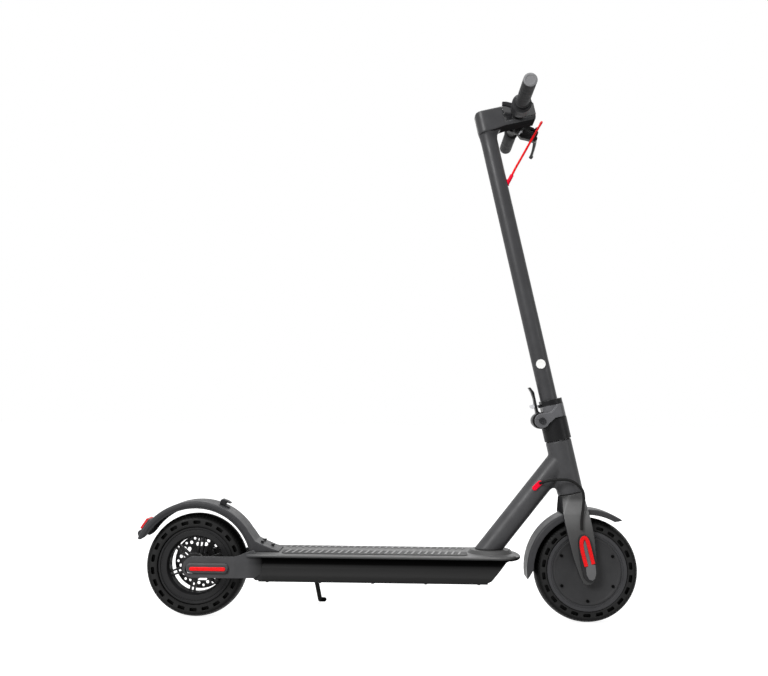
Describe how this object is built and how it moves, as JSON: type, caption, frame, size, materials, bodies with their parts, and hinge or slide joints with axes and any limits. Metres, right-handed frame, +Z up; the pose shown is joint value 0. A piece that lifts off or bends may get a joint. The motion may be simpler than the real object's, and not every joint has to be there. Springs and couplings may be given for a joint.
{
  "type": "electric kick scooter",
  "caption": "Folding electric kick scooter: battery deck, raked stem, hub-motor front wheel, spoked disc-braked rear wheel, fenders, lights and kickstand.",
  "frame": {"origin": "on the ground, in the middle of the scooter's length and width", "axes": "+X towards the front wheel, +Y towards the rider's left, +Z up"},
  "size_m": [1.0564, 0.43, 1.1195],
  "materials": {
    "frame_paint": "satin dark grey paint",
    "fork_paint": "satin dark grey paint",
    "stem_paint": "satin near-black paint",
    "black_metal": "satin black coating",
    "deck_rubber": "moulded rubber with raised ridges",
    "grip_rubber": "ribbed soft rubber",
    "tyre_rubber": "solid rubber with a row of oval holes",
    "matte_black": "fine-textured black plastic",
    "grey_plastic": "dark grey plastic",
    "cap_plastic": "mid grey plastic",
    "dash_plastic": "polished black plastic",
    "display_glass": "dark display window",
    "lamp_lens": "clear lens",
    "red_lens": "red lens",
    "red_reflector": "red reflector",
    "red_rubber": "soft red rubber",
    "red_cable": "red cable sleeve",
    "black_cable": "black cable sleeve",
    "white_plastic": "plain white disc",
    "drum_metal": "dark grey drum",
    "rim_metal": "black rim",
    "steel": "bright steel",
    "bearing_steel": "ground steel",
    "disc_steel": "ground brake disc",
    "screw_steel": "dark zinc",
    "copper_iron": "varnished windings",
    "cell_wrap": "shrink wrap",
    "controller_metal": "bare heat sink"
  },
  "bodies": {
    "frame": {"deck_frame": "frame_paint", "front_frame": "frame_paint", "deck_mat": "deck_rubber", "bottom_cover": "matte_black", "bottom_cover_screws": "screw_steel", "battery_pack": "cell_wrap", "motor_controller": "controller_metal", "headset_bearings": "bearing_steel", "rear_fender": "grey_plastic", "fender_screws": "screw_steel", "fender_hook": "matte_black", "tail_light": "red_lens", "rear_arm_covers": "grey_plastic", "rear_reflectors": "red_reflector", "rear_axle": "steel", "brake_caliper": "black_metal", "rear_brake_cable": "black_cable", "kickstand_bracket": "black_metal", "cable_grommet": "red_rubber", "motor_cable": "black_cable"},
    "rear_wheel": {"rear_tyre": "tyre_rubber", "rear_rim": "rim_metal", "brake_disc": "disc_steel", "disc_screws": "screw_steel", "rear_bearings": "bearing_steel"},
    "fork_assembly": {"fork": "fork_paint", "folding_base": "black_metal", "front_fender": "grey_plastic", "fork_leg_covers": "grey_plastic", "fork_reflectors": "red_reflector", "front_axle": "steel", "motor_stator": "copper_iron"},
    "front_wheel": {"front_tyre": "tyre_rubber", "motor_hub": "drum_metal", "motor_cover": "drum_metal", "motor_cover_screws": "screw_steel"},
    "stem": {"stem_tube": "stem_paint", "stem_collar": "fork_paint", "hinge_pin": "screw_steel", "handlebar": "black_metal", "grips": "grip_rubber", "grip_caps": "cap_plastic", "dash_housing": "dash_plastic", "dash_display": "display_glass", "headlight": "lamp_lens", "throttle_housing": "matte_black", "brake_lever_bracket": "black_metal", "brake_cable": "red_cable", "stem_grommet": "red_rubber", "stem_reflector": "white_plastic", "bell_housing": "black_metal"},
    "latch_lever": {"folding_lever": "black_metal"},
    "latch_lock": {"lock_plunger": "steel"},
    "throttle": {"throttle_paddle": "matte_black"},
    "hand_brake": {"brake_lever": "black_metal"},
    "bell_striker": {"bell_lever": "steel"},
    "power_switch": {"power_button": "matte_black"},
    "stand": {"kickstand": "black_metal"},
    "caliper_lever": {"caliper_arm": "steel"},
    "socket_cap": {"charge_cap": "matte_black"}
  },
  "joints": [
    {"name": "steering", "type": "hinge", "parent": "frame", "child": "fork_assembly", "pos_m": [0.37939, 0, 0.32185], "axis": [-0.2156, 0, 0.9765], "range_deg": [-50, 50], "deforming": ["motor_cable"]},
    {"name": "front_wheel_spin", "type": "hinge", "parent": "fork_assembly", "child": "front_wheel", "pos_m": [0.4202, 0, 0.108], "axis": [0, 1, 0], "continuous": true},
    {"name": "rear_wheel_spin", "type": "hinge", "parent": "frame", "child": "rear_wheel", "pos_m": [-0.4018, 0, 0.108], "axis": [0, 1, 0], "continuous": true},
    {"name": "stem_fold", "type": "hinge", "parent": "fork_assembly", "child": "stem", "pos_m": [0.32864, 0, 0.41858], "axis": [0, -1, 0], "range_deg": [0, 90]},
    {"name": "latch_lever_swing", "type": "hinge", "parent": "stem", "child": "latch_lever", "pos_m": [0.32864, 0, 0.41858], "axis": [0, -1, 0], "range_deg": [0, 55]},
    {"name": "latch_lock_slide", "type": "slide", "parent": "latch_lever", "child": "latch_lock", "axis": [-0.9765, 0, -0.2156], "range_m": [0, 0.004], "stiffness_N_per_m": 400},
    {"name": "throttle_turn", "type": "hinge", "parent": "stem", "child": "throttle", "pos_m": [0.28315, 0, 1.0871], "axis": [0, -1, 0], "range_deg": [0, 30], "stiffness_Nm_per_rad": 0.4},
    {"name": "brake_lever_pull", "type": "hinge", "parent": "stem", "child": "hand_brake", "pos_m": [0.32515, 0.058, 1.0711], "axis": [0.5507, 0.1736, 0.8164], "range_deg": [0, 20], "stiffness_Nm_per_rad": 1.5},
    {"name": "caliper_lever_turn", "type": "hinge", "parent": "frame", "child": "caliper_lever", "pos_m": [-0.3518, 0.044, 0.141], "axis": [0, 1, 0], "range_deg": [0, 20]},
    {"name": "bell_flick", "type": "hinge", "parent": "stem", "child": "bell_striker", "pos_m": [0.28315, 0.0355, 1.0871], "axis": [0.5, 0, -0.866], "range_deg": [0, 25], "stiffness_Nm_per_rad": 0.02},
    {"name": "power_press", "type": "slide", "parent": "stem", "child": "power_switch", "axis": [0.2156, 0, -0.9765], "range_m": [0, 0.0015], "stiffness_N_per_m": 600},
    {"name": "kickstand_swing", "type": "hinge", "parent": "frame", "child": "stand", "pos_m": [-0.1538, 0.052, 0.0727], "axis": [0, 0.5736, 0.8192], "range_deg": [0, 90]},
    {"name": "charge_cap_open", "type": "hinge", "parent": "frame", "child": "socket_cap", "pos_m": [0.1852, 0.05955, 0.117], "axis": [1, 0, 0], "range_deg": [0, 100]}
  ],
  "couplings": [
    {"joint": "caliper_lever_turn", "follows": "brake_lever_pull", "ratio": 1}
  ]
}
